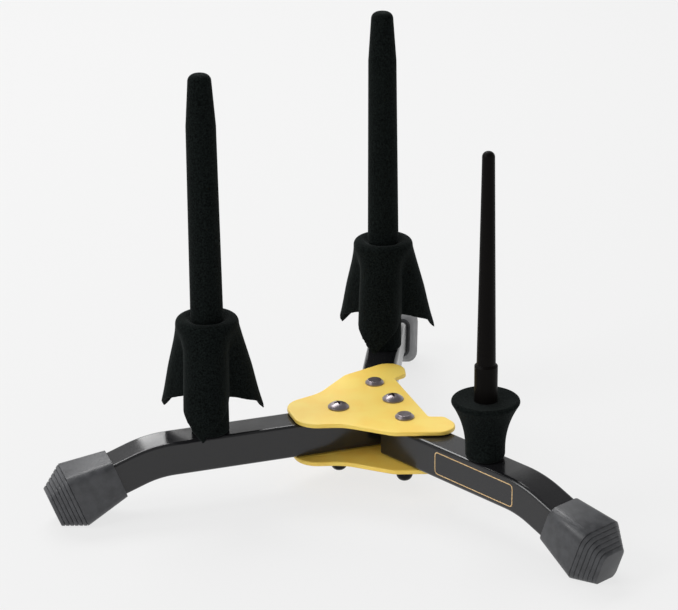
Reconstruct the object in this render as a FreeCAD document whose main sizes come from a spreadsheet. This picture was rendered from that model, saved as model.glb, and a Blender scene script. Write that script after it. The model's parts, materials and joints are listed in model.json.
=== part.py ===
import FreeCAD, Part
import math
import os
import re

import Sketcher

# A folding three-leg stand for two flutes or clarinets and one piccolo.
#
# Three bent square tubes meet between two yellow steel plates. One leg is clamped by two
# screws and the other two swing on bolts, so that they fold back along the clamped leg.
# Each leg carries an upright peg that screws off, and ends in a rubber foot.
#
# Frame: +Z up, the floor at Z = 0, the clamped leg along -X, and the origin on the floor
# under the middle of the stand's outer box. Lengths are in millimetres, angles in degrees.

SIZES = {
    # Leg tube: square section, rounded corners.
    "tube_side": 20.0,
    "tube_wall": 1.5,
    "tube_round": 2.2,
    # Each leg runs level from the hub, bends down, and goes on straight into its foot.
    "leg_droop": 20.0,
    "bend_radius": 60.0,
    "leg_tail": 11.9,
    "fixed_straight": 132.5,
    "fixed_inner": 9.0,
    "swing_straight": 88.3,
    "swing_inner": 9.0,
    "leg_splay": 66.0,
    # Where the pegs stand, from the hub screw or from the leg's own pivot.
    "fixed_peg_at": 109.0,
    "swing_peg_at": 64.0,
    # Hub: the tail screw and the two pivots are placed from the hub screw.
    "tail_screw_back": 33.0,
    "pivot_back": 2.2,
    "pivot_gap": 15.8,
    "plate_thick": 2.6,
    "plate_edge_round": 0.8,
    "washer_thick": 0.5,
    "pivot_play": 0.1,
    # Plate outline, tail lobe: corner places from the tail screw.
    "tail_end": 28.3,
    "tail_half": 16.0,
    "tail_round": 14.0,
    "waist_back": 4.3,
    "waist_half": 23.2,
    "waist_round": 25.0,
    # Plate outline, swing lobes: corner places from each pivot.
    "shoulder_back": 12.7,
    "shoulder_out": 17.6,
    "shoulder_round": 12.0,
    "lobe_front": 28.4,
    "lobe_out": 31.1,
    "lobe_round": 10.0,
    "heel_front": 21.8,
    "heel_out": 6.3,
    "heel_round": 4.0,
    "notch_front": 13.4,
    "notch_out": 3.2,
    "notch_round": 2.0,
    # Clamp screws, domed with a cross recess.
    "screw_shank": 6.0,
    "screw_head": 12.2,
    "screw_rise": 3.3,
    "screw_edge": 0.7,
    "screw_crown": 7.1,
    "screw_dome": 8.0,
    "screw_below": 9.8,
    "recess_long": 5.6,
    "recess_slot": 1.3,
    "recess_deep": 1.7,
    # Pivot bolts: a flat bevelled head and a shoulder that the leg turns on.
    "pivot_shoulder": 8.0,
    "pivot_head": 10.9,
    "pivot_rise": 2.2,
    "pivot_edge": 0.7,
    "pivot_bevel": 1.5,
    "pivot_round": 0.5,
    # Cap nuts under the lower plate: a hexagon and a dome.
    "nut_flats": 10.0,
    "nut_hexagon": 5.0,
    "nut_height": 12.8,
    "nut_dome": 9.4,
    "nut_crown": 3.8,
    "nut_roof": 1.5,
    # Washers and the sleeves that stop the tubes from being crushed.
    "clamp_washer": 15.0,
    "pivot_washer": 15.0,
    "sleeve_wall": 2.0,
    # Clearances, all on the radius or on one side.
    "screw_clear": 0.2,
    "thread_clear": 0.05,
    "pivot_clear": 0.05,
    "tube_hole_clear": 0.1,
    "seat_clear": 0.05,
    # Rubber foot: a sleeve that flares to a wide section, then a ribbed nose.
    "foot_grip": 22.0,
    "foot_wall": 2.0,
    "foot_rim_round": 3.5,
    "foot_flare": 26.7,
    "foot_wide": 30.0,
    "foot_high": 33.0,
    "foot_round": 6.5,
    "foot_trim": 0.4,
    "foot_nose": 13.3,
    "nose_wide": 16.0,
    "nose_up": 9.0,
    "nose_round": 4.0,
    "groove_deep": 0.7,
    "groove_share": 0.22,
    # Threaded insert in the tube's top wall, and the peg's moulded-in stud.
    "stud_size": 6.0,
    "stud_grip": 14.0,
    "stud_reach": 11.0,
    "insert_wall": 1.5,
    "insert_deep": 9.0,
    "insert_flange": 10.0,
    "insert_rise": 0.8,
    "peg_recess_clear": 0.3,
    # Tall peg, heights from the top of the tube.
    "peg_base": 21.5,
    "peg_foot_round": 1.5,
    "peg_shoulder": 66.0,
    "peg_low": 18.4,
    "peg_high": 16.5,
    "peg_taper": 29.0,
    "peg_tip": 12.4,
    "peg_tip_round": 4.0,
    "peg_height": 208.8,
    # Collar with three petals, which holds a clarinet's bell or a flute's end.
    "cap_thick": 3.3,
    "collar_across": 35.5,
    "collar_rim": 4.5,
    "collar_rim_round": 3.2,
    "collar_wall": 2.4,
    "dish_across": 23.0,
    "dish_deep": 1.2,
    "petal_tip_at": 9.5,
    "petal_reach": 33.5,
    "petal_half": 12.3,
    "petal_bulge": 0.3,
    "crease_fall": 17.0,
    "petal_drop": 15.0,
    "petal_arch": 29.0,
    "fixed_collar_turn": -113.0,
    "back_collar_turn": -119.0,
    # Piccolo peg and its flared cup, heights from the top of the tube.
    "cup_base": 22.0,
    "cup_foot_round": 3.0,
    "cup_flare_at": 20.2,
    "cup_flare_radius": 50.0,
    "cup_across": 39.4,
    "cup_height": 35.2,
    "cup_lip": 1.6,
    "cup_dish": 1.0,
    "cup_lip_wide": 2.6,
    "sleeve_across": 12.8,
    "sleeve_top": 54.6,
    "sleeve_round": 0.5,
    "piccolo_low": 10.5,
    "piccolo_tip": 6.8,
    "piccolo_height": 176.5,
    "piccolo_tip_round": 3.1,
}

FOOT_RIBS = 6
PETALS = 3
# Where a petal's side meets the cap's circle, as shares of the angle from ridge to crease.
SIDE_SHARES = (1.0, 0.92, 0.85)

doc = FreeCAD.newDocument("FoldingInstrumentStand")
sheet = doc.addObject("Spreadsheet::Sheet", "Sizes")
for row, (alias, size) in enumerate(SIZES.items(), start=1):
    sheet.set(f"A{row}", alias)
    sheet.set(f"B{row}", str(size))
    sheet.setAlias(f"B{row}", alias)
doc.recompute()


def bound(formula):
    """The formula with each size's name turned into a reference to its cell."""
    return re.sub(r"[a-z]+(_[a-z]+)+", lambda found: f"Sizes.{found.group()}", formula)


def amount(formula):
    """The formula's present value."""
    return float(sheet.evalExpression(bound(formula)))


# Places that several pieces share, worked out from the sizes.
BEND_RUN = "(bend_radius * sin(leg_droop))"
BEND_DROP = "(bend_radius * (1 - cos(leg_droop)))"
RIM_ALONG = f"({BEND_RUN} + leg_tail * cos(leg_droop))"
RIM_DROP = f"({BEND_DROP} + leg_tail * sin(leg_droop))"
FLOOR_DOWN = "(foot_high / 2 - foot_trim)"
AXIS_Z = f"({RIM_DROP} + foot_flare * sin(leg_droop) + {FLOOR_DOWN} * cos(leg_droop))"
SEAT_Z = f"({AXIS_Z} + tube_side / 2)"
TUBE_FLOOR_Z = f"({AXIS_Z} - tube_side / 2)"
LOWER_TOP_Z = f"({TUBE_FLOOR_Z} - washer_thick)"
LOWER_UNDER_Z = f"({LOWER_TOP_Z} - plate_thick)"
UPPER_UNDER_Z = f"({SEAT_Z} + washer_thick)"
UPPER_TOP_Z = f"({UPPER_UNDER_Z} + plate_thick)"
INNER_HEIGHT = "(tube_side - 2 * tube_wall)"

# The outer box runs from the clamped foot's nose to the swing feet's widest corners.
NOSE_REACH = "((foot_flare + foot_nose) * cos(leg_droop) + nose_up * sin(leg_droop))"
WIDE_REACH = "(foot_flare * cos(leg_droop) + foot_high / 2 * sin(leg_droop))"
BACK_END = f"(fixed_straight + {RIM_ALONG} + {NOSE_REACH})"
SWING_END = f"((swing_straight + {RIM_ALONG} + {WIDE_REACH}) * cos(leg_splay))"
FRONT_END = f"({SWING_END} + foot_wide / 2 * sin(leg_splay) - pivot_back)"
HUB_X = f"(({BACK_END} - {FRONT_END}) / 2)"
PIVOT_X = f"({HUB_X} - pivot_back)"
PIVOT_Y = "(tube_side / 2 + pivot_gap)"
TAIL_SCREW_X = f"({HUB_X} - tail_screw_back)"

# Each leg: name, pivot or hub place, heading, level run, run behind the pivot, peg place.
LEGS = {
    "fixed": (HUB_X, "0", "180", "fixed_straight", "fixed_inner", "fixed_peg_at"),
    "right": (PIVOT_X, f"-{PIVOT_Y}", "-leg_splay", "swing_straight", "swing_inner", "swing_peg_at"),
    "back": (PIVOT_X, PIVOT_Y, "leg_splay", "swing_straight", "swing_inner", "swing_peg_at"),
}


def put(item, x, y, z, yaw="0", pitch="0"):
    """Bind the item's place: a point, a turn about Z, then a downward tilt about its own Y."""
    where = f"create(<<vector>>; {x}; {y}; {z})"
    turn = f"create(<<rotation>>; {yaw}; {pitch}; 0)"
    item.setExpression("Placement", bound(f"create(<<placement>>; {where}; {turn})"))


def new_body(name):
    body = doc.addObject("PartDesign::Body", name)
    body.Label = name
    return body


def sketch_on(body, role, offset="0"):
    """An empty sketch on one of the body's origin planes, moved along the plane's normal."""
    plane = next(item for item in body.Origin.OriginFeatures if item.Role == role)
    sketch = body.newObject("Sketcher::SketchObject", "Sketch")
    sketch.AttachmentSupport = [(plane, "")]
    sketch.MapMode = "FlatFace"
    sketch.setExpression("AttachmentOffset.Base.z", bound(offset))
    return sketch


def constrain(sketch, formula, *rule):
    """Add one constraint whose value is bound to the formula."""
    index = sketch.addConstraint(Sketcher.Constraint(*rule, amount(formula)))
    sketch.setExpression(f"Constraints[{index}]", bound(formula))


def pin_point(sketch, geometry, point, across, up):
    """Hold a point at two distances from the sketch's origin."""
    constrain(sketch, across, "DistanceX", -1, 1, geometry, point)
    constrain(sketch, up, "DistanceY", -1, 1, geometry, point)


def corner_arc(before, corner, after, radius):
    """The tangent arc that rounds a corner, its two ends, and whether it turns left."""
    inward = (corner - before).normalize()
    onward = (after - corner).normalize()
    turn = math.acos(max(-1.0, min(1.0, inward.dot(onward))))
    left = inward.cross(onward).z > 0
    reach = radius * math.tan(turn / 2)
    start = corner - inward * reach
    end = corner + onward * reach
    side = 1 if left else -1
    centre = start + FreeCAD.Vector(-inward.y, inward.x, 0) * radius * side
    first, last = (start, end) if left else (end, start)
    angles = [math.atan2(point.y - centre.y, point.x - centre.x) for point in (first, last)]
    circle = Part.Circle(centre, FreeCAD.Vector(0, 0, 1), radius)
    return Part.ArcOfCircle(circle, angles[0], angles[1]), start, end, left


def outline(sketch, corners):
    """Draw a closed outline of formulas (across, up) or, rounded, (across, up, radius)."""
    points = [FreeCAD.Vector(amount(c[0]), amount(c[1]), 0) for c in corners]
    count = len(corners)
    rounds = {}
    for i, corner in enumerate(corners):
        if len(corner) == 3:
            after = points[(i + 1) % count]
            rounds[i] = corner_arc(points[i - 1], points[i], after, amount(corner[2]))
    lines = []
    for i in range(count):
        following = (i + 1) % count
        start = rounds[i][2] if i in rounds else points[i]
        end = rounds[following][1] if following in rounds else points[following]
        lines.append(sketch.addGeometry(Part.LineSegment(start, end)))
    for i, corner in enumerate(corners):
        line_in, line_out = lines[i - 1], lines[i]
        if i not in rounds:
            sketch.addConstraint(Sketcher.Constraint("Coincident", line_in, 2, line_out, 1))
            pin_point(sketch, line_out, 1, corner[0], corner[1])
            continue
        curve, _, _, left = rounds[i]
        arc = sketch.addGeometry(curve)
        near, far = (1, 2) if left else (2, 1)
        sketch.addConstraint(Sketcher.Constraint("Tangent", line_in, 2, arc, near))
        sketch.addConstraint(Sketcher.Constraint("Tangent", arc, far, line_out, 1))
        constrain(sketch, corner[2], "Radius", arc)
        apex = sketch.addGeometry(Part.Point(points[i]), True)
        sketch.addConstraint(Sketcher.Constraint("PointOnObject", apex, 1, line_in))
        sketch.addConstraint(Sketcher.Constraint("PointOnObject", apex, 1, line_out))
        pin_point(sketch, apex, 1, corner[0], corner[1])


def circle(sketch, across, up, radius):
    centre = FreeCAD.Vector(amount(across), amount(up), 0)
    index = sketch.addGeometry(Part.Circle(centre, FreeCAD.Vector(0, 0, 1), amount(radius)))
    constrain(sketch, radius, "Radius", index)
    pin_point(sketch, index, 3, across, up)


def rounded_box(sketch, half_across, down, up, radius):
    """A rounded rectangle, level with the sketch's axis to each side, down below and up above."""
    outline(sketch, [
        (f"-{half_across}", f"-{down}", radius),
        (half_across, f"-{down}", radius),
        (half_across, up, radius),
        (f"-{half_across}", up, radius),
    ])


def pad(body, sketch, length):
    feature = body.newObject("PartDesign::Pad", "Pad")
    feature.Profile = sketch
    feature.setExpression("Length", bound(length))
    return feature


def pocket(body, sketch, length, along_normal=False):
    """Cut the sketch into the body, against the plane's normal or along it."""
    feature = body.newObject("PartDesign::Pocket", "Pocket")
    feature.Profile = sketch
    feature.Reversed = along_normal
    feature.setExpression("Length", bound(length))
    return feature


def turned(name, corners):
    """A body turned about its own Z axis from a profile of (radius, height) corners."""
    body = new_body(name)
    sketch = sketch_on(body, "XZ_Plane")
    outline(sketch, corners)
    turning = body.newObject("PartDesign::Revolution", "Revolution")
    turning.Profile = sketch
    turning.ReferenceAxis = (sketch, ["V_Axis"])
    turning.Angle = 360
    return body


def ring(name, inner, outer, height, x, y, z):
    """A plain washer or sleeve standing on (x, y, z)."""
    body = new_body(name)
    sketch = sketch_on(body, "XY_Plane")
    circle(sketch, "0", "0", inner)
    circle(sketch, "0", "0", outer)
    pad(body, sketch, height)
    put(body, x, y, z)
    return body


def plate(name, under_z):
    """One hub plate: a tail lobe over the clamped leg and a lobe over each swing leg."""
    lobe = [
        ("-(tail_screw_back + tail_end)", "tail_half", "tail_round"),
        ("-(tail_screw_back + waist_back)", "waist_half", "waist_round"),
        ("-(pivot_back + shoulder_back)", f"({PIVOT_Y} + shoulder_out)", "shoulder_round"),
        ("lobe_front - pivot_back", f"({PIVOT_Y} + lobe_out)", "lobe_round"),
        ("heel_front - pivot_back", f"({PIVOT_Y} + heel_out)", "heel_round"),
        ("notch_front - pivot_back", f"({PIVOT_Y} + notch_out)", "notch_round"),
    ]
    mirrored = [(across, f"-{out}", rounding) for across, out, rounding in lobe]
    body = new_body(name)
    sketch = sketch_on(body, "XY_Plane")
    outline(sketch, mirrored + lobe[::-1])
    pad(body, sketch, "plate_thick")
    holes = sketch_on(body, "XY_Plane")
    screw_hole = "screw_shank / 2 + screw_clear"
    pivot_hole = "pivot_shoulder / 2 + pivot_clear" if name == "upper_plate" else screw_hole
    circle(holes, "0", "0", screw_hole)
    circle(holes, "-tail_screw_back", "0", screw_hole)
    circle(holes, "-pivot_back", PIVOT_Y, pivot_hole)
    circle(holes, "-pivot_back", f"-{PIVOT_Y}", pivot_hole)
    pocket(body, holes, "plate_thick", along_normal=True)
    doc.recompute()
    round_rims(body, body.Tip)
    put(body, HUB_X, "0", under_z)
    return body


def round_rims(body, base):
    """Round the plate's two outer rims; the holes keep sharp edges."""
    def on_rim(edge):
        low, high = edge.BoundBox.ZMin, edge.BoundBox.ZMax
        if high - low > 0.01:
            return False
        return not (edge.isClosed() and isinstance(edge.Curve, Part.Circle))

    rim = [f"Edge{i}" for i, edge in enumerate(base.Shape.Edges, start=1) if on_rim(edge)]
    fillet = body.newObject("PartDesign::Fillet", "Fillet")
    fillet.Base = (base, rim)
    fillet.setExpression("Radius", bound("plate_edge_round"))


def leg(name, kind):
    """One bent tube with its holes. Its own X runs outward and its own Z = 0 is the tube's axis."""
    x, y, heading, straight, inner, peg_at = LEGS[kind]
    body = new_body(name)
    route = sketch_on(body, "XZ_Plane")
    radius, droop = amount("bend_radius"), math.radians(amount("leg_droop"))
    start = FreeCAD.Vector(-amount(inner), 0, 0)
    bend = FreeCAD.Vector(amount(straight), 0, 0)
    centre = bend - FreeCAD.Vector(0, radius, 0)
    top = math.pi / 2
    curve = Part.ArcOfCircle(Part.Circle(centre, FreeCAD.Vector(0, 0, 1), radius), top - droop, top)
    tail_x = f"{straight} + {BEND_RUN} + (leg_tail + foot_grip) * cos(leg_droop)"
    tail_z = f"-{BEND_DROP} - (leg_tail + foot_grip) * sin(leg_droop)"
    end = FreeCAD.Vector(amount(tail_x), amount(tail_z), 0)
    level = route.addGeometry(Part.LineSegment(start, bend))
    arc = route.addGeometry(curve)
    tail = route.addGeometry(Part.LineSegment(curve.StartPoint, end))
    pin_point(route, level, 1, f"-{inner}", "0")
    pin_point(route, level, 2, straight, "0")
    route.addConstraint(Sketcher.Constraint("Tangent", level, 2, arc, 2))
    route.addConstraint(Sketcher.Constraint("Tangent", arc, 1, tail, 1))
    constrain(route, "bend_radius", "Radius", arc)
    pin_point(route, tail, 2, tail_x, tail_z)

    section = sketch_on(body, "YZ_Plane", f"-{inner}")
    half = "(tube_side / 2)"
    hollow = "(tube_side / 2 - tube_wall)"
    rounded_box(section, half, half, half, "tube_round")
    rounded_box(section, hollow, hollow, hollow, "tube_round - tube_wall")
    doc.recompute()
    pipe = body.newObject("PartDesign::AdditivePipe", "Pipe")
    pipe.Profile = section
    pipe.Spine = route
    doc.recompute()

    through = sketch_on(body, "XY_Plane", "-tube_side")
    if kind == "fixed":
        circle(through, "0", "0", "screw_shank / 2 + screw_clear")
        circle(through, "tail_screw_back", "0", "screw_shank / 2 + screw_clear")
    else:
        circle(through, "0", "0", "pivot_shoulder / 2 + tube_hole_clear")
    pocket(body, through, "2 * tube_side", along_normal=True)
    insert_hole = sketch_on(body, "XY_Plane")
    circle(insert_hole, peg_at, "0", "stud_size / 2 + insert_wall + seat_clear")
    pocket(body, insert_hole, "tube_side", along_normal=True)
    put(body, x, y, AXIS_Z, heading)
    return body


def loft(body, near, end):
    """A straight-sided solid between two sketches."""
    doc.recompute()
    feature = body.newObject("PartDesign::AdditiveLoft", "Loft")
    feature.Profile = near
    feature.Sections = [end]
    feature.Ruled = True


def nose_section(body, share, inset="0"):
    """The foot's outline at a share of the nose's length, moved inward by inset."""
    section = sketch_on(body, "YZ_Plane", f"foot_flare + foot_nose * {share}")
    rounded_box(
        section,
        f"(foot_wide / 2 + (nose_wide - foot_wide) / 2 * {share} - {inset})",
        f"(foot_high / 2 - foot_nose * {share} * tan(leg_droop) - {inset})",
        f"(foot_high / 2 + (nose_up - foot_high / 2) * {share} - {inset})",
        f"foot_round + (nose_round - foot_round) * {share} - {inset}",
    )
    return section


def foot(name, kind):
    """One rubber foot with a ribbed nose. Its own X runs outward along the drooping tube."""
    x, y, heading, straight, _, _ = LEGS[kind]
    body = new_body(name)
    rim = sketch_on(body, "YZ_Plane")
    rim_half = "(tube_side / 2 + foot_wall)"
    rounded_box(rim, rim_half, rim_half, rim_half, "foot_rim_round")
    wide = sketch_on(body, "YZ_Plane", "foot_flare")
    rounded_box(wide, "(foot_wide / 2)", "(foot_high / 2)", "(foot_high / 2)", "foot_round")
    loft(body, rim, wide)
    # The nose narrows to its end; its underside is level once the foot droops.
    loft(body, nose_section(body, "0", "groove_deep"), nose_section(body, "1", "groove_deep"))
    for rib in range(FOOT_RIBS):
        near, end = f"(({rib} + groove_share) / {FOOT_RIBS})", f"({rib + 1} / {FOOT_RIBS})"
        loft(body, nose_section(body, near), nose_section(body, end))
    bore = sketch_on(body, "YZ_Plane")
    half = "(tube_side / 2 + seat_clear)"
    rounded_box(bore, half, half, half, "tube_round + seat_clear")
    pocket(body, bore, "foot_grip", along_normal=True)
    # The lowest corners are ground flat where they meet the floor.
    ground = sketch_on(body, "XZ_Plane")
    near, end = "foot_flare - foot_nose", "foot_flare + 2 * foot_nose"
    outline(ground, [
        (near, f"-{FLOOR_DOWN} - foot_nose * tan(leg_droop)"),
        (near, "-2 * foot_high"),
        (end, "-2 * foot_high"),
        (end, f"-{FLOOR_DOWN} + 2 * foot_nose * tan(leg_droop)"),
    ])
    trim = pocket(body, ground, "2 * foot_wide")
    trim.SideType = "Symmetric"
    rim_out = f"({straight} + {RIM_ALONG})"
    put(
        body,
        f"{x} + {rim_out} * cos({heading})",
        f"{y} + {rim_out} * sin({heading})",
        f"{AXIS_Z} - {RIM_DROP}",
        heading,
        "leg_droop",
    )
    return body


def clamp_screw(name, x):
    """A domed screw with a cross recess; its end goes into a cap nut under the lower plate."""
    below = f"({UPPER_TOP_Z} - {LOWER_UNDER_Z} + screw_below)"
    body = turned(name, [
        ("0", f"-{below}"),
        ("screw_shank / 2", f"-{below}"),
        ("screw_shank / 2", "0"),
        ("screw_head / 2", "0"),
        ("screw_head / 2", "screw_edge"),
        ("screw_crown / 2", "screw_rise", "screw_dome"),
        ("0", "screw_rise"),
    ])
    cross = sketch_on(body, "XY_Plane", "screw_rise")
    reach, half = "recess_long / 2", "recess_slot / 2"
    arm = [(reach, f"-{half}"), (reach, half), (half, half)]
    corners = []
    for quarter in range(4):
        for across, up in arm:
            corners.append((across, up))
        arm = [(f"-({up})", across) for across, up in arm]
    outline(cross, corners)
    pocket(body, cross, "recess_deep")
    put(body, x, "0", UPPER_TOP_Z)
    return body


def pivot_bolt(name, kind):
    """The shouldered bolt a swing leg turns on; its thin end goes into a cap nut."""
    x, y = LEGS[kind][:2]
    stack = f"({UPPER_TOP_Z} - {LOWER_UNDER_Z})"
    body = turned(name, [
        ("0", f"-{stack} - screw_below"),
        ("screw_shank / 2", f"-{stack} - screw_below"),
        ("screw_shank / 2", f"-{stack} + plate_thick"),
        ("pivot_shoulder / 2", f"-{stack} + plate_thick"),
        ("pivot_shoulder / 2", "0"),
        ("pivot_head / 2", "0"),
        ("pivot_head / 2", "pivot_edge"),
        ("pivot_head / 2 - pivot_bevel", "pivot_rise", "pivot_round"),
        ("0", "pivot_rise"),
    ])
    put(body, x, y, UPPER_TOP_Z)
    return body


def cap_nut(name, x, y):
    """A domed nut hanging under the lower plate, its hexagon against the plate."""
    body = new_body(name)
    flats = sketch_on(body, "XY_Plane")
    corners = []
    for sixth in range(6):
        angle = f"{60 * sixth + 30}"
        reach = "nut_flats / 2 / cos(30)"
        corners.append((f"{reach} * cos({angle})", f"{reach} * sin({angle})"))
    outline(flats, corners)
    hexagon = pad(body, flats, "nut_hexagon")
    hexagon.Reversed = True
    profile = sketch_on(body, "XZ_Plane")
    outline(profile, [
        ("0", "-nut_height"),
        ("nut_dome / 2", "-nut_height", "nut_crown"),
        ("nut_dome / 2", "-nut_hexagon / 2"),
        ("0", "-nut_hexagon / 2"),
    ])
    dome = body.newObject("PartDesign::Revolution", "Revolution")
    dome.Profile = profile
    dome.ReferenceAxis = (profile, ["V_Axis"])
    dome.Angle = 360
    thread = sketch_on(body, "XY_Plane")
    circle(thread, "0", "0", "screw_shank / 2 + thread_clear")
    pocket(body, thread, "nut_height - nut_roof")
    put(body, x, y, LOWER_UNDER_Z)
    return body


def peg_insert(name, kind):
    """The threaded insert in a leg's top wall, with a thin flange on the tube."""
    bore = "stud_size / 2 + thread_clear"
    body = turned(name, [
        (bore, "-insert_deep"),
        ("stud_size / 2 + insert_wall", "-insert_deep"),
        ("stud_size / 2 + insert_wall", "0"),
        ("insert_flange / 2", "0"),
        ("insert_flange / 2", "insert_rise"),
        (bore, "insert_rise"),
    ])
    put_on_leg(body, kind)
    return body


def put_on_leg(item, kind, turn="0", up="0"):
    """Stand the item on a leg's top face at its peg place."""
    x, y, heading, _, _, peg_at = LEGS[kind]
    peg_x = f"{x} + {peg_at} * cos({heading})"
    peg_y = f"{y} + {peg_at} * sin({heading})"
    put(item, peg_x, peg_y, f"{SEAT_Z} + {up}", turn)


def peg_socket():
    """The underside of a peg: a recess over the insert's flange, then the stud's blind bore."""
    recess = "insert_flange / 2 + peg_recess_clear"
    deep = "insert_rise + peg_recess_clear"
    bore = "stud_size / 2 + thread_clear"
    return [("0", "stud_grip"), (bore, "stud_grip"), (bore, deep), (recess, deep), (recess, "0")]


def peg_stud(name, kind):
    """The screw moulded into a peg, which turns into the leg's insert."""
    stud = doc.addObject("Part::Cylinder", name)
    stud.Label = name
    stud.setExpression("Radius", bound("stud_size / 2"))
    stud.setExpression("Height", bound("stud_reach + stud_grip"))
    put_on_leg(stud, kind, up="(-stud_reach)")
    return stud


def tall_peg(name, kind):
    """A flock-covered peg: a stout base up to the collar's shoulder, then a long tapered shaft."""
    body = turned(name, peg_socket() + [
        ("peg_base / 2", "0", "peg_foot_round"),
        ("peg_base / 2", "peg_shoulder"),
        ("peg_low / 2", "peg_shoulder"),
        ("peg_high / 2", "peg_height - peg_taper"),
        ("peg_tip / 2", "peg_height", "peg_tip_round"),
        ("0", "peg_height"),
    ])
    put_on_leg(body, kind)
    return body


def petal_points(tip, half):
    """One petal's outline as (along, across) points: two nearly flat sides and a round end."""
    crease, bend = half / math.tan(math.pi / PETALS), tip - half
    side = [(crease, half), ((crease + bend) / 2, half + amount("petal_bulge")), (bend, half)]
    return [(x, -y) for x, y in side] + [(tip, 0)] + side[::-1]


def circle_points(radius):
    """The same seven points on a circle, where the petals run into the cap."""
    side = [math.pi / PETALS * share for share in SIDE_SHARES]
    angles = [-angle for angle in side] + [0] + side[::-1]
    return [(radius * math.cos(angle), radius * math.sin(angle)) for angle in angles]


def petal_wire(points, height):
    """A closed outline that repeats one petal's three arcs for each petal."""
    arcs = []
    for petal in range(PETALS):
        turn = FreeCAD.Rotation(FreeCAD.Vector(0, 0, 1), 360 / PETALS * petal)
        placed = [turn.multVec(FreeCAD.Vector(x, y, height)) for x, y in points]
        for first in (0, 2, 4):
            arcs.append(Part.Arc(*placed[first:first + 3]).toShape())
    return Part.Wire(arcs)


def petal_skirt(inset, low, high):
    """The solid inside the skirt's surface moved inward by inset, from the tips up to the cap."""
    cap_r, tip_r, half = amount("collar_across / 2"), amount("petal_reach"), amount("petal_half")
    top = amount("peg_shoulder + cap_thick")
    rim_z, crease_z = top - amount("collar_rim"), top - amount("crease_fall")
    ridge_r = cap_r + (tip_r - cap_r) * (rim_z - crease_z) / (rim_z - low)
    return Part.makeLoft([
        petal_wire(petal_points(tip_r - inset, half - inset), low),
        petal_wire(petal_points(ridge_r - inset, half - inset), crease_z),
        petal_wire(circle_points(cap_r - inset), high),
    ], True, True)


def petal_collar(name, kind, turn):
    """The collar: a dished cap on the peg's shoulder and a skirt that opens into three petals."""
    shoulder, cap_r = amount("peg_shoulder"), amount("collar_across / 2")
    top, tip_z = shoulder + amount("cap_thick"), amount("petal_tip_at")
    rim_z = top - amount("collar_rim")
    up = FreeCAD.Vector(0, 0, 1)

    def post(radius, low, high):
        return Part.makeCylinder(radius, high - low, FreeCAD.Vector(0, 0, low), up)

    cap = post(cap_r, rim_z, top)
    crown = [edge for edge in cap.Edges if edge.BoundBox.ZMin > rim_z + 0.01]
    cap = cap.makeFillet(amount("collar_rim_round"), crown)
    shape = petal_skirt(0, tip_z, rim_z).fuse(cap)
    shape = shape.cut(petal_skirt(amount("collar_wall"), tip_z, shoulder))
    shape = shape.cut(post(amount("dish_across / 2"), top - amount("dish_deep"), top))
    shape = shape.cut(post(amount("peg_low / 2 + seat_clear"), tip_z, top))
    # Between two petals the skirt's edge is arched, highest at the crease.
    drop, arch = amount("petal_drop"), amount("petal_arch")
    radius = (arch ** 2 + drop ** 2) / (2 * drop)
    for petal in range(PETALS):
        angle = math.radians(360 / PETALS * (petal + 0.5))
        outward = FreeCAD.Vector(math.cos(angle), math.sin(angle), 0)
        centre = FreeCAD.Vector(0, 0, tip_z + drop - radius)
        shape = shape.cut(Part.makeCylinder(radius, amount("petal_reach"), centre, outward))
    collar = doc.addObject("Part::Feature", name)
    collar.Label = name
    collar.Shape = shape
    put_on_leg(collar, kind, turn)
    return collar


def piccolo_peg(name, kind):
    """The slim smooth peg with a thicker sleeve at its foot."""
    body = turned(name, peg_socket() + [
        ("sleeve_across / 2", "0"),
        ("sleeve_across / 2", "sleeve_top", "sleeve_round"),
        ("piccolo_low / 2", "sleeve_top + (sleeve_across - piccolo_low) / 2"),
        ("piccolo_tip / 2", "piccolo_height", "piccolo_tip_round"),
        ("0", "piccolo_height"),
    ])
    put_on_leg(body, kind)
    return body


def piccolo_cup(name, kind):
    """The flock-covered flared cup round the piccolo peg's sleeve, with a shallow dish on top."""
    bore = "sleeve_across / 2 + seat_clear"
    body = turned(name, [
        (bore, "0"),
        ("cup_base / 2", "0", "cup_foot_round"),
        ("cup_base / 2", "cup_flare_at", "cup_flare_radius"),
        ("cup_across / 2", "cup_height - cup_lip / 2", "cup_lip"),
        ("cup_across / 2 - cup_lip_wide", "cup_height", "cup_lip"),
        (bore, "cup_height - cup_dish"),
    ])
    put_on_leg(body, kind)
    return body


def build_hub():
    pieces = [plate("lower_plate", LOWER_UNDER_Z), plate("upper_plate", UPPER_UNDER_Z)]
    sleeve_z = f"{TUBE_FLOOR_Z} + tube_wall"
    hole = "screw_shank / 2 + screw_clear"
    for place, x in (("hub", HUB_X), ("tail", TAIL_SCREW_X)):
        pieces.append(clamp_screw(f"{place}_screw", x))
        pieces.append(cap_nut(f"{place}_cap_nut", x, "0"))
        name = f"{place}_crush_sleeve"
        pieces.append(ring(name, hole, f"{hole} + sleeve_wall", INNER_HEIGHT, x, "0", sleeve_z))
        for level, z in (("upper", SEAT_Z), ("lower", LOWER_TOP_Z)):
            name = f"{place}_washer_{level}"
            pieces.append(ring(name, hole, "clamp_washer / 2", "washer_thick", x, "0", z))
    return pieces


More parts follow.
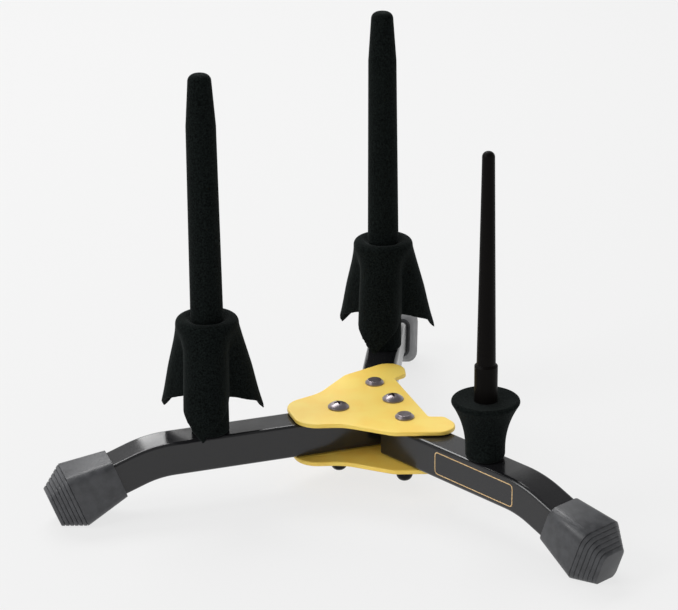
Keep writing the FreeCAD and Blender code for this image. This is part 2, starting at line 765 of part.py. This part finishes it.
def build_pivots():
    """Bolts, nuts, sleeves and washers of the two swing legs; the washers rest on the plates."""
    pieces = []
    shank = "pivot_shoulder / 2 + pivot_clear"
    thick = "washer_thick - pivot_play"
    sleeve_z = f"{TUBE_FLOOR_Z} + tube_wall"
    for kind in ("right", "back"):
        x, y = LEGS[kind][:2]
        pieces.append(pivot_bolt(f"{kind}_pivot_bolt", kind))
        pieces.append(cap_nut(f"{kind}_cap_nut", x, y))
        name = f"{kind}_pivot_bush"
        pieces.append(ring(name, shank, f"{shank} + sleeve_wall", INNER_HEIGHT, x, y, sleeve_z))
        for level, z in (("upper", f"{SEAT_Z} + pivot_play"), ("lower", LOWER_TOP_Z)):
            name = f"{kind}_pivot_washer_{level}"
            pieces.append(ring(name, shank, "pivot_washer / 2", thick, x, y, z))
    return pieces


def build_legs():
    pieces = []
    for kind in LEGS:
        pieces.append(leg(f"{kind}_leg", kind))
        pieces.append(foot(f"{kind}_leg_foot", kind))
        pieces.append(peg_insert(f"{kind}_leg_insert", kind))
        pieces.append(peg_stud(f"{kind}_peg_stud", kind))
    return pieces


def build_pegs():
    pieces = []
    for kind, turn in (("fixed", "fixed_collar_turn"), ("back", "back_collar_turn")):
        pieces.append(tall_peg(f"{kind}_tall_peg", kind))
        pieces.append(petal_collar(f"{kind}_petal_collar", kind, turn))
    pieces.append(piccolo_peg("piccolo_peg", "right"))
    pieces.append(piccolo_cup("piccolo_cup", "right"))
    return pieces


def check(pieces):
    """Stop before writing anything if an object failed or a shape is empty or broken."""
    for item in doc.Objects:
        if "Invalid" in item.State or "Error" in item.State:
            raise RuntimeError(f"{item.Name} ({item.Label}) failed: {item.State}")
    for piece in pieces:
        if piece.Shape.isNull() or not piece.Shape.isValid() or piece.Shape.Volume <= 0:
            raise RuntimeError(f"{piece.Label} has no valid solid")


def main():
    pieces = build_hub() + build_pivots() + build_legs() + build_pegs()
    doc.recompute()
    check(pieces)
    os.makedirs("parts", exist_ok=True)
    for piece in pieces:
        piece.Shape.exportStep(os.path.join("parts", f"{piece.Label}.step"))
    print(f"wrote {len(pieces)} sub-parts")


main()
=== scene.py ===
import json
import math

import bmesh
import bpy
from mathutils import Matrix, Vector


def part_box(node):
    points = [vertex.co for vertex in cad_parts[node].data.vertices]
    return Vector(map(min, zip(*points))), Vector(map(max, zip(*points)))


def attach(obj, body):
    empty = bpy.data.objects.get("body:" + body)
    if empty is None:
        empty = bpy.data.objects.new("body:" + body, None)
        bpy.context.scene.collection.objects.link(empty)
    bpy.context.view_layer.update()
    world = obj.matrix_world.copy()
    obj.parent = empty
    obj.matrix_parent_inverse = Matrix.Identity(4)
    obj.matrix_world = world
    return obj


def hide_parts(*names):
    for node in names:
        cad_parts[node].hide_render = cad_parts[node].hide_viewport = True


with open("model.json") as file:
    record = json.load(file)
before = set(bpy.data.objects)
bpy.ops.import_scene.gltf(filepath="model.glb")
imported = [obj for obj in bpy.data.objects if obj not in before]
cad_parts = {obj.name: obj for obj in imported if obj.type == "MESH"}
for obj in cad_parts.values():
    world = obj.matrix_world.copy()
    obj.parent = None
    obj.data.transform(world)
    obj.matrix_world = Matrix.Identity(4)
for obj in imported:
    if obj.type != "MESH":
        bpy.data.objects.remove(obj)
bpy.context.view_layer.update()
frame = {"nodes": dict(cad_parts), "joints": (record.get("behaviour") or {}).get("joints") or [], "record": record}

MM = 0.001

# Camera: where it stands, seen from the point that it aims at, and its lens.
CAMERA_AZIMUTH = math.radians(-18.13)
CAMERA_ELEVATION = math.radians(21.73)
CAMERA_ROLL = math.radians(-0.65)
CAMERA_AIM = (73.17 * MM, 119.48 * MM, 57.64 * MM)
CAMERA_DISTANCE = 1570.16 * MM
CAMERA_LENS = 135.45
CAMERA_SENSOR = 36.0
CAMERA_NEAR = 0.05

# Studio: the paper's colour, the shade overhead, how steeply a direction rises where the room
# starts and ends darkening, and how much of the paper's own colour the floor shows.
PAPER = "#F1F1F1"
OVERHEAD = "#8E8E8E"
DARKENS_FROM = 0.3
DARKENS_TO = 0.6
FLOOR_SIZE = 16.0
PAPER_SHARE = 0.85

# Each lamp's place, its width and height in metres, and its power in watts. All face the hub.
LAMP_AIM = (0.0, 0.0, 0.05)
LAMPS = {
    "lamp_above": ((-0.1, 1.15, 1.65), (1.6, 0.7), 26.0),
    "lamp_left": ((-1.7, -0.1, 1.4), (0.9, 0.9), 18.0),
    "lamp_behind": ((0.1, 1.5, 0.86), (0.4, 0.2), 1.4),
}

# Flocked collars: the grid that a copy is remade on, and how far its edges are rounded.
COLLAR_GRID = 0.7 * MM
COLLAR_SMOOTHING = 9

# Petal ends: how far they are drawn down, the height above a tip in which all of a petal moves
# by that much, and the distance beyond it over which the movement fades out.
PETAL_DRAW = 3.2 * MM
PETAL_END = 12.8 * MM
PETAL_FADE = 18.0 * MM

# Rubber foot: a sleeve that flares from its rim to a wide section, then a ribbed nose.
LEG_DROOP = math.radians(20)
FOOT_SLEEVE = 26.7 * MM
FOOT_RIM = 24.0 * MM
FOOT_WIDE = 30.0 * MM
FOOT_HIGH = 33.0 * MM
FOOT_CORNER = 5.0 * MM
CORNER_STEPS = 5
FOOT_WALL = 1.95 * MM
FOOT_GRIP = 22.0 * MM
FOOT_RIBS = 6
NOSE_LONG = 13.3 * MM
NOSE_WIDE = 16.0 * MM
NOSE_UP = 9.0 * MM
NOSE_DOWN = FOOT_HIGH / 2 - NOSE_LONG * math.tan(LEG_DROOP)
GROOVE_SHARE = 0.2
GROOVE_DEEP = 0.45 * MM
EDGE_ROUND = 0.18 * MM
ROUNDED_ABOVE = math.radians(35)
SMOOTH_BELOW = math.radians(30)

# The foot's rim is this far behind the floor pad and this far above the floor.
RIM_BEHIND_PAD = 21.0 * MM
RIM_UP = 24.26 * MM

# Points nearer than this count as one when a copied mesh is merged, or as on the plane of a cut.
MERGE_WITHIN = 0.001 * MM
CUT_WITHIN = 0.0001 * MM

# How much of a face's normal lies along an axis when it counts as an end face.
END_FACE = 0.9

# Pinstripe border on the right leg, with its middle measured from the leg's pivot.
TUBE_SIDE = 20.0 * MM
STRIPE_AT = 64.7 * MM
STRIPE_LONG = 60.0 * MM
STRIPE_HIGH = 13.6 * MM
STRIPE_ROUND = 2.4 * MM
STRIPE_LINE = 0.55 * MM
STRIPE_FILM = 0.1 * MM
STRIPE_STEPS = 6


def linear(colour):
    """An sRGB hex colour as the linear values that a shader takes."""
    values = []
    for start in (1, 3, 5):
        share = int(colour[start:start + 2], 16) / 255
        values.append(share / 12.92 if share <= 0.04045 else ((share + 0.055) / 1.055) ** 2.4)
    return (*values, 1.0)


def add_node(tree, kind, settings, links=()):
    """Add a node, set its properties and input values, and link (input, node, output) to it."""
    made = tree.nodes.new(kind)
    for name, value in settings.items():
        if name in made.inputs:
            made.inputs[name].default_value = value
        else:
            setattr(made, name, value)
    for name, source, output in links:
        tree.links.new(source.outputs[output], made.inputs[name])
    return made


def new_material(name, shader_values):
    """A material with one Principled shader, whose values are set here."""
    material = bpy.data.materials.new(name)
    material.use_nodes = True
    shader = material.node_tree.nodes["Principled BSDF"]
    for socket, value in shader_values.items():
        shader.inputs[socket].default_value = value
    return material


def speckle(material, size, detail=2.0):
    """Noise whose spots are size metres across, fixed to the piece."""
    tree = material.node_tree
    place = add_node(tree, "ShaderNodeTexCoord", {})
    settings = {"Scale": 1 / size, "Detail": detail}
    return add_node(tree, "ShaderNodeTexNoise", settings, [("Vector", place, "Object")])


def raise_grain(material, noise, depth, strength):
    """Let the noise stand depth metres proud of the surface."""
    tree = material.node_tree
    settings = {"Strength": strength, "Distance": depth}
    bump = add_node(tree, "ShaderNodeBump", settings, [("Height", noise, "Fac")])
    tree.links.new(bump.outputs["Normal"], tree.nodes["Principled BSDF"].inputs["Normal"])


def tint(material, noise, dark, light):
    """Let the colour wander between two shades with the noise."""
    tree = material.node_tree
    settings = {"From Min": 0.35, "From Max": 0.65}
    spread = add_node(tree, "ShaderNodeMapRange", settings, [("Value", noise, "Fac")])
    settings = {"data_type": "RGBA", "A": linear(dark), "B": linear(light)}
    mix = add_node(tree, "ShaderNodeMix", settings, [("Factor", spread, "Result")])
    tree.links.new(mix.outputs["Result"], tree.nodes["Principled BSDF"].inputs["Base Color"])


def vary_polish(material, noise, low, high):
    """Let the roughness wander between two values with the noise."""
    tree = material.node_tree
    settings = {"From Min": 0.3, "From Max": 0.7, "To Min": low, "To Max": high}
    spread = add_node(tree, "ShaderNodeMapRange", settings, [("Value", noise, "Fac")])
    tree.links.new(spread.outputs["Result"], tree.nodes["Principled BSDF"].inputs["Roughness"])


def powder_coat_yellow():
    """Baked polyester powder on steel: warm yellow, a soft sheen and a fine orange peel."""
    coat = new_material("powder_coat_yellow", {"Roughness": 0.4, "IOR": 1.5})
    tint(coat, speckle(coat, 14 * MM), "#FDD55E", "#FEDE6B")
    # Real peel is about 0.5 mm across; it is drawn at 1.2 mm so that it shows.
    raise_grain(coat, speckle(coat, 1.2 * MM), 0.02 * MM, 0.35)
    return coat


def gloss_enamel_black():
    """Dipped enamel on the leg tubes: near black, glossy, with a faint ripple and handling haze."""
    enamel = new_material("gloss_enamel_black", {"Base Color": linear("#1D1D1F"), "IOR": 1.5})
    vary_polish(enamel, speckle(enamel, 22 * MM), 0.14, 0.24)
    raise_grain(enamel, speckle(enamel, 4 * MM), 0.02 * MM, 0.25)
    return enamel


def moulded_rubber_grey():
    """Moulded natural rubber: dark grey, satin, slightly dusty."""
    rubber = new_material("moulded_rubber_grey", {"IOR": 1.52})
    dust = speckle(rubber, 5 * MM, detail=6.0)
    tint(rubber, dust, "#303134", "#424346")
    vary_polish(rubber, dust, 0.36, 0.5)
    # Mould texture is near 0.2 mm; it is drawn at 0.7 mm so that it shows.
    raise_grain(rubber, speckle(rubber, 0.7 * MM), 0.03 * MM, 0.35)
    return rubber


def nylon_flock_black():
    """Short nylon flock: deep black, no gloss, a velvet edge and faint grey-green specks."""
    flock = new_material("nylon_flock_black", {
        "Roughness": 1.0,
        "IOR": 1.53,
        "Specular IOR Level": 0.05,
        "Sheen Weight": 0.1,
        "Sheen Roughness": 0.4,
        "Sheen Tint": linear("#9AA3A1"),
    })
    # The pile's tufts are about 0.1 mm; they are drawn at 0.8 mm so that they show.
    pile = speckle(flock, 0.8 * MM, detail=4.0)
    tint(flock, pile, "#030404", "#161B1A")
    raise_grain(flock, pile, 0.3 * MM, 0.6)
    return flock


def moulded_acetal_black():
    """Moulded acetal of the slim peg: smooth brown-black with little shine."""
    acetal = new_material("moulded_acetal_black", {
        "Base Color": linear("#0B0908"), "IOR": 1.48, "Specular IOR Level": 0.06,
    })
    draw_marks = speckle(acetal, 3 * MM)
    vary_polish(acetal, draw_marks, 0.38, 0.5)
    return acetal


def black_nickel_plate():
    """Black nickel on the screw and bolt heads: a warm dark mirror, slightly brushed."""
    nickel = new_material("black_nickel_plate", {"Base Color": linear("#8E868A"), "Metallic": 1.0})
    vary_polish(nickel, speckle(nickel, 0.6 * MM), 0.28, 0.4)
    return nickel


def black_oxide_steel():
    """Black oxide on the cap nuts: dark steel with an oily sheen."""
    oxide = new_material("black_oxide_steel", {"Base Color": linear("#232324"), "Metallic": 1.0})
    vary_polish(oxide, speckle(oxide, 1.5 * MM), 0.3, 0.45)
    return oxide


def turned_brass():
    """Turned brass of the bushes and inserts: warm metal with a machined sheen."""
    brass = new_material("turned_brass", {"Base Color": linear("#D2AE66"), "Metallic": 1.0})
    vary_polish(brass, speckle(brass, 0.5 * MM), 0.22, 0.38)
    return brass


def zinc_plated_steel():
    """Bright zinc on washers, sleeves and studs: cool grey with a faint bloom."""
    zinc = new_material("zinc_plated_steel", {"Base Color": linear("#B4B6BA"), "Metallic": 1.0})
    vary_polish(zinc, speckle(zinc, 2 * MM), 0.3, 0.45)
    return zinc


def gold_transfer_film():
    """A printed gold transfer: pale, slightly grainy, flat to the enamel."""
    film = new_material("gold_transfer_film", {"Roughness": 0.45, "IOR": 1.5})
    tint(film, speckle(film, 1.5 * MM), "#CFA873", "#EACB98")
    return film


FINISHES = {
    "plate_paint": powder_coat_yellow,
    "leg_paint": gloss_enamel_black,
    "foot_rubber": moulded_rubber_grey,
    "black_flock": nylon_flock_black,
    "black_plastic": moulded_acetal_black,
    "dark_nickel": black_nickel_plate,
    "black_nut": black_oxide_steel,
    "bare_brass": turned_brass,
    "zinc_steel": zinc_plated_steel,
}


def dress_nodes(finishes):
    """Give every CAD node the finish of its slot."""
    for entry in frame["record"]["subparts"]:
        materials = frame["nodes"][entry["node"]].data.materials
        materials.clear()
        materials.append(finishes[entry["material_slot"]])


def joint_place(name):
    """Where a joint of the frame is."""
    return Vector(next(joint["pos_m"] for joint in frame["joints"] if joint["name"] == name))


def mount_place(name):
    """Where a mount of the frame is."""
    mounts = frame["record"]["mounts"]
    return Vector(next(mount["pos_m"] for mount in mounts if mount["name"] == name))


def make_active(piece):
    """Leave only this piece selected, so that an operator acts on nothing else."""
    bpy.ops.object.select_all(action="DESELECT")
    piece.select_set(True)
    bpy.context.view_layer.objects.active = piece


def apply_modifier(piece, kind, settings):
    """Add a modifier to the active piece and apply it."""
    modifier = piece.modifiers.new(kind.lower(), kind)
    for name, value in settings.items():
        setattr(modifier, name, value)
    bpy.ops.object.modifier_apply(modifier=modifier.name)


def select_only(piece, part, wanted):
    """In edit mode, select just the faces or edges that are wanted."""
    bpy.ops.mesh.select_mode(type="FACE" if part == "faces" else "EDGE")
    bpy.ops.mesh.select_all(action="DESELECT")
    mesh = bmesh.from_edit_mesh(piece.data)
    mesh.normal_update()
    for item in getattr(mesh, part):
        if wanted(item):
            item.select_set(True)
    mesh.select_flush_mode()
    bmesh.update_edit_mesh(piece.data)


def flocked_collar(kind, body, flock):
    """A tall peg's collar, its petal ends drawn down and its edges rounded as its pile rounds them."""
    node = f"{kind}_petal_collar"
    collar = bpy.data.objects.new(f"{kind}_flocked_collar", frame["nodes"][node].data.copy())
    bpy.context.scene.collection.objects.link(collar)
    make_active(collar)
    bpy.ops.object.mode_set(mode="EDIT")
    bpy.ops.mesh.select_all(action="SELECT")
    bpy.ops.mesh.remove_doubles(threshold=MERGE_WITHIN)
    bpy.ops.object.mode_set(mode="OBJECT")
    apply_modifier(collar, "REMESH", {"mode": "VOXEL", "voxel_size": COLLAR_GRID})
    petal_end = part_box(node)[0][2] + PETAL_END
    bpy.ops.object.mode_set(mode="EDIT")
    select_only(collar, "faces", lambda face: face.calc_center_median().z < petal_end)
    bpy.ops.transform.translate(
        value=(0, 0, -PETAL_DRAW), use_proportional_edit=True,
        proportional_edit_falloff="SMOOTH", proportional_size=PETAL_FADE,
    )
    bpy.ops.object.mode_set(mode="OBJECT")
    apply_modifier(collar, "SMOOTH", {"factor": 0.5, "iterations": COLLAR_SMOOTHING})
    bpy.ops.object.shade_smooth()
    collar.data.materials.clear()
    collar.data.materials.append(flock)
    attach(collar, body)
    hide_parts(node)


def nose_section(share, inset=0.0):
    """The nose's place along the foot, half width, bottom and top at a share of its length."""
    return (
        FOOT_SLEEVE + NOSE_LONG * share,
        FOOT_WIDE / 2 + (NOSE_WIDE - FOOT_WIDE) / 2 * share - inset,
        -FOOT_HIGH / 2 + (FOOT_HIGH / 2 - NOSE_DOWN) * share + inset,
        FOOT_HIGH / 2 + (NOSE_UP - FOOT_HIGH / 2) * share - inset,
    )


def carry_nose(section, following):
    """Extrude the selected end face from one section of the nose to the next."""
    along, half, bottom, top = section
    next_along, next_half, next_bottom, next_top = following
    middle, next_middle = (bottom + top) / 2, (next_bottom + next_top) / 2
    step = (next_along - along, 0, next_middle - middle)
    bpy.ops.mesh.extrude_region_move(TRANSFORM_OT_translate={"value": step})
    shrink = (1, next_half / half, (next_top - next_bottom) / (top - bottom))
    bpy.ops.transform.resize(value=shrink, center_override=(next_along, 0, next_middle))


def model_foot(rubber):
    """One rubber foot, its sleeve's rim at X = 0 and its nose toward +X."""
    bpy.ops.mesh.primitive_cube_add(size=1, location=(FOOT_SLEEVE / 2, 0, 0))
    foot = bpy.context.object
    foot.scale = (FOOT_SLEEVE, FOOT_RIM, FOOT_RIM)
    make_active(foot)
    bpy.ops.object.transform_apply(location=True, rotation=True, scale=True)
    bpy.ops.object.mode_set(mode="EDIT")
    select_only(foot, "edges", lambda edge: abs(edge.verts[1].co.x - edge.verts[0].co.x) > MM)
    bpy.ops.mesh.bevel(offset=FOOT_CORNER, segments=CORNER_STEPS)
    select_only(foot, "faces", lambda face: face.normal.x > END_FACE)
    flare = (1, FOOT_WIDE / FOOT_RIM, FOOT_HIGH / FOOT_RIM)
    bpy.ops.transform.resize(value=flare, center_override=(FOOT_SLEEVE, 0, 0))
    for rib in range(FOOT_RIBS):
        start, crest, end = (share / FOOT_RIBS for share in (rib, rib + GROOVE_SHARE, rib + 1))
        carry_nose(nose_section(start), nose_section(start, GROOVE_DEEP))
        carry_nose(nose_section(start, GROOVE_DEEP), nose_section(crest, GROOVE_DEEP))
        carry_nose(nose_section(crest, GROOVE_DEEP), nose_section(crest))
        carry_nose(nose_section(crest), nose_section(end))
    select_only(foot, "faces", lambda face: face.normal.x < -END_FACE and face.calc_center_median().x < MM)
    bpy.ops.mesh.inset(thickness=FOOT_WALL)
    bpy.ops.mesh.extrude_region_move(TRANSFORM_OT_translate={"value": (FOOT_GRIP, 0, 0)})
    bpy.ops.mesh.select_all(action="SELECT")
    bpy.ops.mesh.normals_make_consistent(inside=False)
    bpy.ops.object.mode_set(mode="OBJECT")
    apply_modifier(foot, "BEVEL", {
        "width": EDGE_ROUND, "segments": 2, "limit_method": "ANGLE", "angle_limit": ROUNDED_ABOVE,
    })
    foot.data.materials.append(rubber)
    return foot


def fit_foot(model, kind, body, root):
    """A leg's own copy of the foot, pushed on its drooping end and cut level with the floor."""
    pad = mount_place(f"{kind}_foot_pad")
    along = Vector((pad.x - root.x, pad.y - root.y, 0)).normalized()
    foot = bpy.data.objects.new(f"{kind}_rubber_foot", model.data.copy())
    bpy.context.scene.collection.objects.link(foot)
    heading = Matrix.Rotation(math.atan2(along.y, along.x), 4, "Z")
    rim = pad - along * RIM_BEHIND_PAD + Vector((0, 0, RIM_UP))
    foot.matrix_world = Matrix.Translation(rim) @ heading @ Matrix.Rotation(LEG_DROOP, 4, "Y")
    make_active(foot)
    bpy.ops.object.transform_apply(location=True, rotation=True, scale=True)
    bpy.ops.object.mode_set(mode="EDIT")
    bpy.ops.mesh.select_all(action="SELECT")
    bpy.ops.mesh.bisect(
        plane_co=(0, 0, 0), plane_no=(0, 0, 1), clear_inner=True, use_fill=True, threshold=CUT_WITHIN,
    )
    bpy.ops.object.mode_set(mode="OBJECT")
    bpy.ops.object.shade_smooth_by_angle(angle=SMOOTH_BELOW)
    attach(foot, body)
    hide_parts(f"{kind}_leg_foot")


def rubber_feet(rubber):
    """Model the foot once and fit a copy on each leg."""
    model = model_foot(rubber)
    fit_foot(model, "fixed", "hub", Vector((0, 0, 0)))
    fit_foot(model, "right", "right_swing_leg", joint_place("right_leg_fold"))
    fit_foot(model, "back", "back_swing_leg", joint_place("back_leg_fold"))
    bpy.data.objects.remove(model)


def leg_pinstripe(film):
    """An empty rounded border printed on the outer side of the right leg."""
    pivot, pad = joint_place("right_leg_fold"), mount_place("right_foot_pad")
    along = Vector((pad.x - pivot.x, pad.y - pivot.y, 0)).normalized()
    up = Vector((0, 0, 1))
    outward = along.cross(up)
    face = Matrix((along, up, outward)).transposed()
    centre = pivot + along * STRIPE_AT + outward * TUBE_SIDE / 2
    bpy.ops.mesh.primitive_plane_add(size=1, location=centre, rotation=face.to_euler())
    stripe = bpy.context.object
    stripe.name = "leg_pinstripe"
    stripe.scale = (STRIPE_LONG, STRIPE_HIGH, 1)
    make_active(stripe)
    bpy.ops.object.transform_apply(location=True, rotation=True, scale=True)
    bpy.ops.object.mode_set(mode="EDIT")
    bpy.ops.mesh.select_all(action="SELECT")
    bpy.ops.mesh.bevel(offset=STRIPE_ROUND, segments=STRIPE_STEPS, affect="VERTICES")
    bpy.ops.mesh.select_all(action="SELECT")
    bpy.ops.mesh.inset(thickness=STRIPE_LINE)
    # The inset leaves the inner face selected, so this leaves only the line round it.
    bpy.ops.mesh.delete(type="FACE")
    bpy.ops.object.mode_set(mode="OBJECT")
    apply_modifier(stripe, "SOLIDIFY", {"thickness": STRIPE_FILM, "offset": 0.5})
    stripe.data.materials.append(film)
    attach(stripe, "right_swing_leg")


def place_camera():
    """The camera: a long lens, a little above the stand and to its left."""
    back = Vector((
        math.sin(CAMERA_AZIMUTH) * math.cos(CAMERA_ELEVATION),
        -math.cos(CAMERA_AZIMUTH) * math.cos(CAMERA_ELEVATION),
        math.sin(CAMERA_ELEVATION),
    ))
    level = Vector((math.cos(CAMERA_AZIMUTH), math.sin(CAMERA_AZIMUTH), 0))
    upright = back.cross(level)
    right = level * math.cos(CAMERA_ROLL) + upright * math.sin(CAMERA_ROLL)
    up = upright * math.cos(CAMERA_ROLL) - level * math.sin(CAMERA_ROLL)
    bpy.ops.object.camera_add()
    camera = bpy.context.object
    camera.name = "camera"
    turn = Matrix((right, up, back)).transposed().to_4x4()
    place = Vector(CAMERA_AIM) + back * CAMERA_DISTANCE
    camera.matrix_world = Matrix.Translation(place) @ turn
    camera.data.lens = CAMERA_LENS
    camera.data.sensor_width = CAMERA_SENSOR
    camera.data.clip_start = CAMERA_NEAR
    camera.data.dof.use_dof = False
    bpy.context.scene.camera = camera


def add_softbox(name, centre, size, power):
    """A soft rectangular lamp at centre, facing the hub."""
    bpy.ops.object.light_add(type="AREA", location=centre)
    lamp = bpy.context.object
    lamp.name = name
    lamp.data.shape = "RECTANGLE"
    lamp.data.size, lamp.data.size_y = size
    lamp.data.energy = power
    facing = Vector(LAMP_AIM) - Vector(centre)
    lamp.rotation_euler = facing.to_track_quat("-Z", "Y").to_euler()


def light_studio():
    """A pale room that darkens overhead, with soft lamps above, at the left and low behind."""
    world = bpy.data.worlds.new("studio")
    bpy.context.scene.world = world
    world.use_nodes = True
    tree = world.node_tree
    tree.nodes.clear()
    direction = add_node(tree, "ShaderNodeTexCoord", {})
    parts = add_node(tree, "ShaderNodeSeparateXYZ", {}, [("Vector", direction, "Generated")])
    settings = {"From Min": DARKENS_FROM, "From Max": DARKENS_TO}
    rise = add_node(tree, "ShaderNodeMapRange", settings, [("Value", parts, "Z")])
    settings = {"data_type": "RGBA", "A": linear(PAPER), "B": linear(OVERHEAD)}
    shade = add_node(tree, "ShaderNodeMix", settings, [("Factor", rise, "Result")])
    room = add_node(tree, "ShaderNodeBackground", {"Strength": 1.0}, [("Color", shade, "Result")])
    add_node(tree, "ShaderNodeOutputWorld", {}, [("Surface", room, "Background")])
    for name, (centre, size, power) in LAMPS.items():
        add_softbox(name, centre, size, power)


def make_floor():
    """A plain pale floor that shows its own paper colour but keeps the stand's shadow."""
    bpy.ops.mesh.primitive_plane_add(size=FLOOR_SIZE, location=(0, 0, 0))
    floor = bpy.context.object
    floor.name = "floor"
    material = new_material("painted_floor", {
        "Base Color": linear("#EDEDED"), "Roughness": 0.9, "Specular IOR Level": 0.1,
    })
    tree = material.node_tree
    rays = add_node(tree, "ShaderNodeLightPath", {})
    seen = rays.outputs["Is Camera Ray"]
    for kind in ("Is Glossy Ray", "Is Transmission Ray"):
        total = add_node(tree, "ShaderNodeMath", {"operation": "ADD"}, [(1, rays, kind)])
        tree.links.new(seen, total.inputs[0])
        seen = total.outputs[0]
    share = add_node(tree, "ShaderNodeMath", {"operation": "MULTIPLY", "use_clamp": True})
    share.inputs[1].default_value = PAPER_SHARE
    tree.links.new(seen, share.inputs[0])
    paper = add_node(tree, "ShaderNodeEmission", {"Color": linear(PAPER), "Strength": 1.0})
    mix = add_node(tree, "ShaderNodeMixShader", {}, [("Fac", share, 0)])
    tree.links.new(tree.nodes["Principled BSDF"].outputs[0], mix.inputs[1])
    tree.links.new(paper.outputs[0], mix.inputs[2])
    tree.links.new(mix.outputs[0], tree.nodes["Material Output"].inputs["Surface"])
    floor.data.materials.append(material)


def main():
    bpy.context.scene.view_settings.view_transform = "Standard"
    place_camera()
    finishes = {slot: make() for slot, make in FINISHES.items()}
    dress_nodes(finishes)
    flocked_collar("fixed", "fixed_peg_unit", finishes["black_flock"])
    flocked_collar("back", "back_peg_unit", finishes["black_flock"])
    rubber_feet(finishes["foot_rubber"])
    leg_pinstripe(gold_transfer_film())
    make_floor()
    light_studio()


main()
